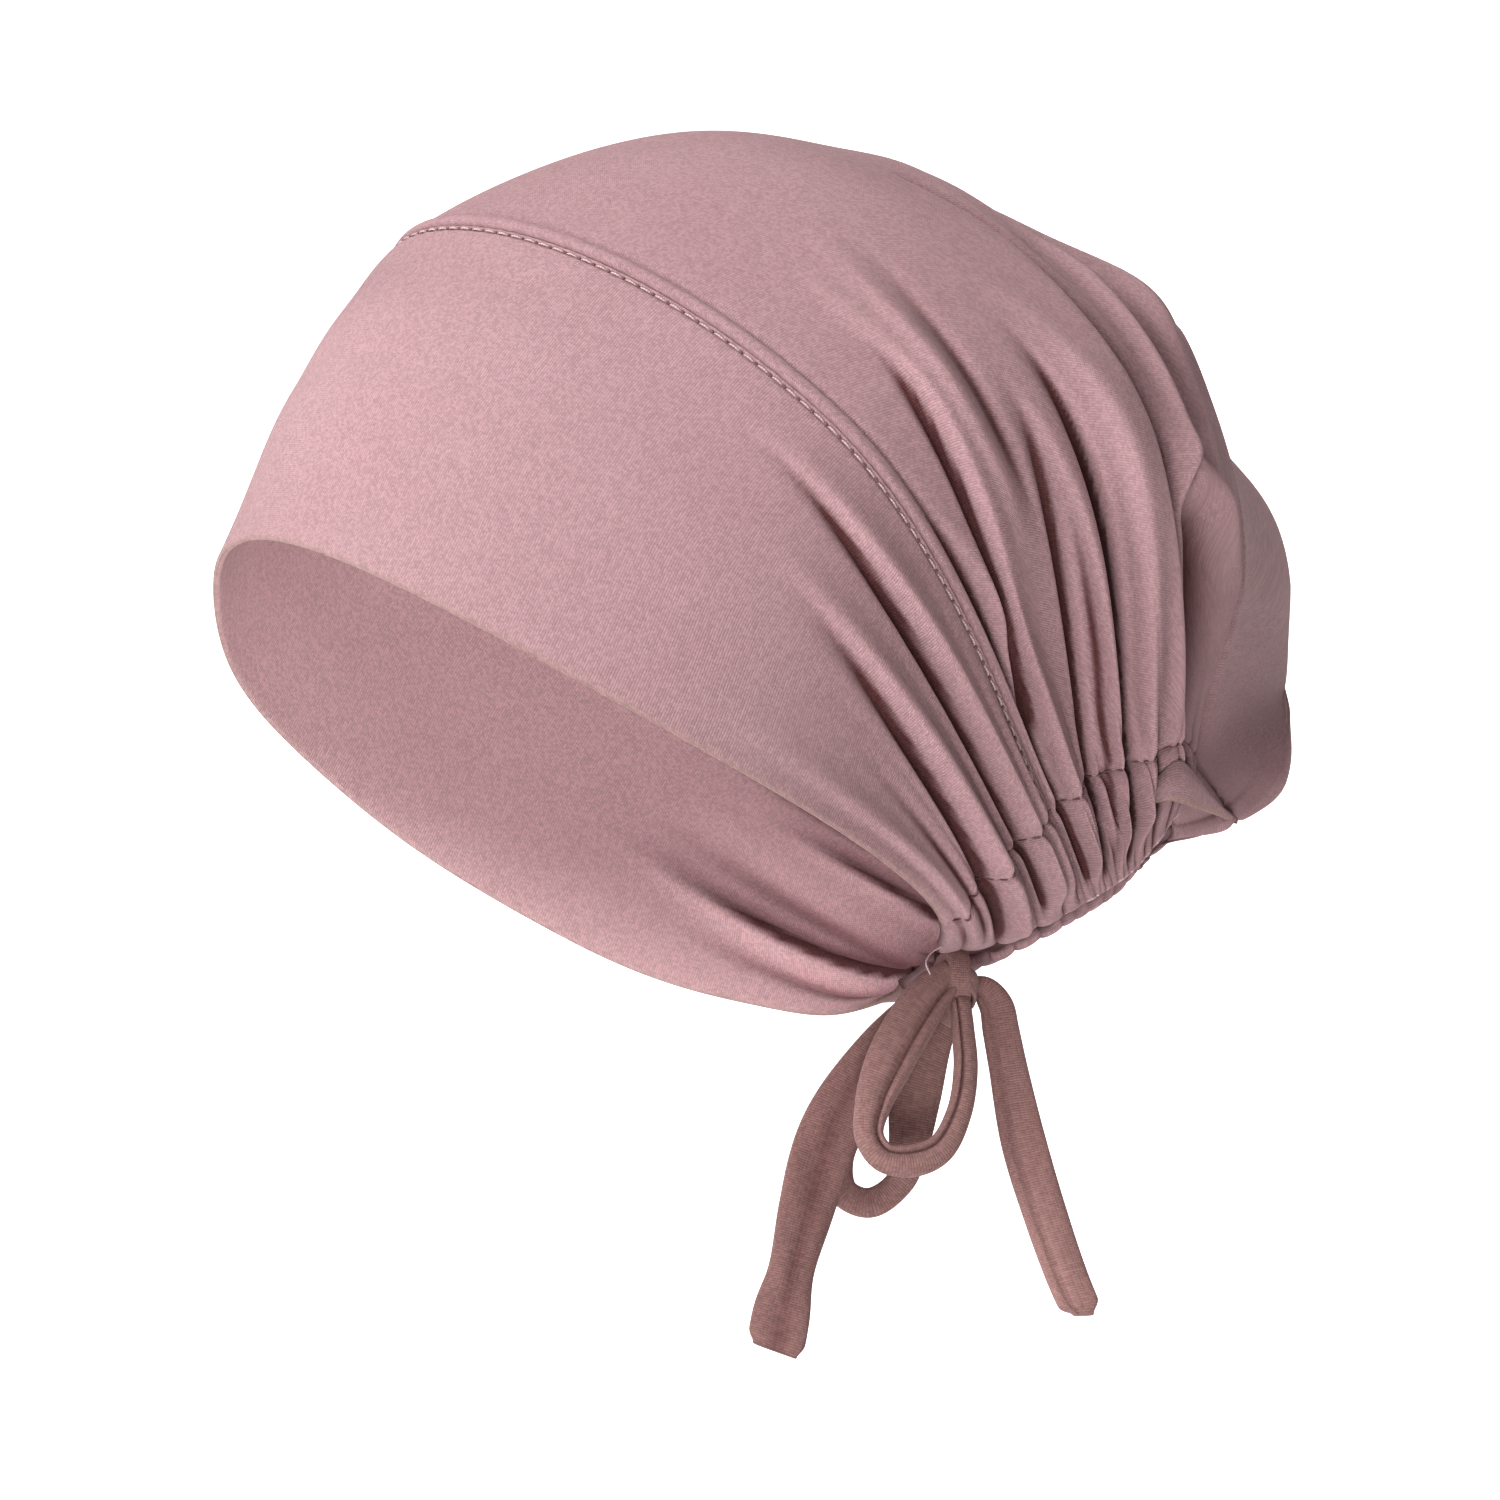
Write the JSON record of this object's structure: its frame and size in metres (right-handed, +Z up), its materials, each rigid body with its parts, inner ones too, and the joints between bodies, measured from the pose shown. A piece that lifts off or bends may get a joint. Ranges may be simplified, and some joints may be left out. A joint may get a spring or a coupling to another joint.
{
  "type": "turban cap",
  "caption": "Soft jersey turban cap with a smooth front band, a gathered crown bag, an elastic nape casing and a bow of tie straps.",
  "frame": {"origin": "head seat: the inside of the top of the crown, where the top of the head bears", "axes": "+Z up, -Y towards the face, +X towards the wearer's left, the side that the picture shows"},
  "size_m": [0.1647, 0.2724, 0.3005],
  "materials": {
    "band_jersey": "matt brushed jersey, dusty mauve",
    "crown_jersey": "matt brushed jersey, dusty mauve",
    "casing_jersey": "matt brushed jersey gathered on elastic",
    "strap_jersey": "matt brushed jersey turned into flat tubes"
  },
  "bodies": {
    "root": {"front_band": "band_jersey", "crown": "crown_jersey", "nape_casing": "casing_jersey", "bow_knot": "strap_jersey", "tie_loop_front": "strap_jersey", "tie_loop_rear": "strap_jersey", "tie_tail_left": "strap_jersey", "tie_tail_right": "strap_jersey"}
  },
  "joints": []
}
